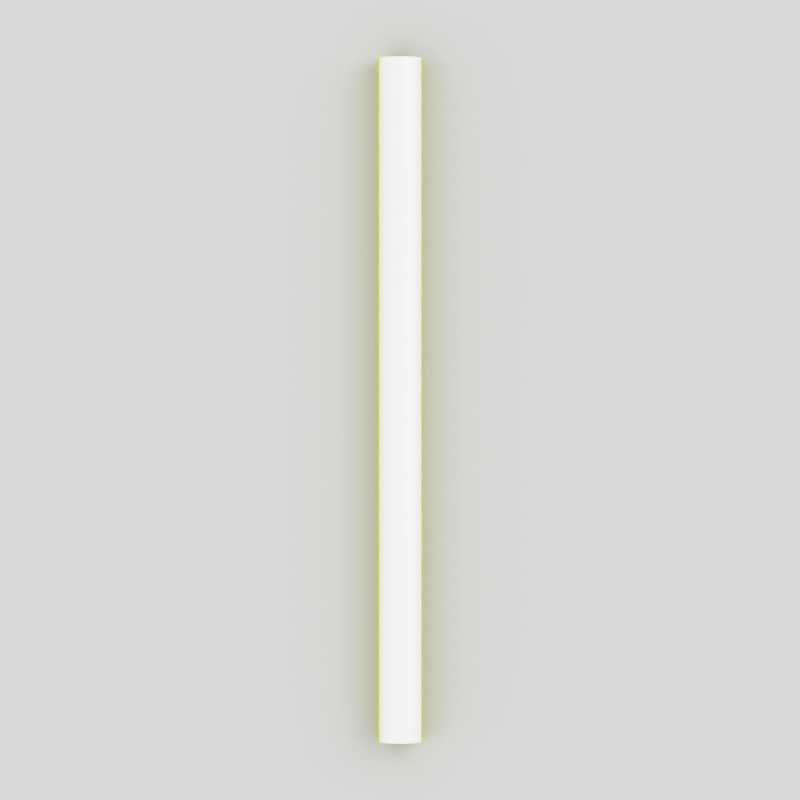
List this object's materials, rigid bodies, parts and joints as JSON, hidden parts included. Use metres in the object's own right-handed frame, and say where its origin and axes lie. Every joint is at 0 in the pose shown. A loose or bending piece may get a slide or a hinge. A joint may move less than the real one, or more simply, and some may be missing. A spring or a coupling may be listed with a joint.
{
  "type": "bicycle spoke reflector",
  "caption": "Slim slit tube wrapped in reflective film that snaps over a bicycle wheel spoke through a flared mouth and sends a driver's light back from the turning wheel.",
  "frame": {"origin": "on the axis of the bore that grips the spoke, at the middle of its length", "axes": "+Y along the bore, +Z away from the slit, so that the reflector lies on its two lips, +X to the side"},
  "size_m": [0.005, 0.075, 0.0045],
  "materials": {
    "slit_tube": "extruded fluorescent yellow plastic, faintly streaked along its length",
    "reflective_film": "retroreflective film with a fine bead grain, white where light comes back, yellow at a slant"
  },
  "bodies": {
    "root": {"slit_tube": "slit_tube", "reflective_film": "reflective_film"}
  },
  "joints": []
}
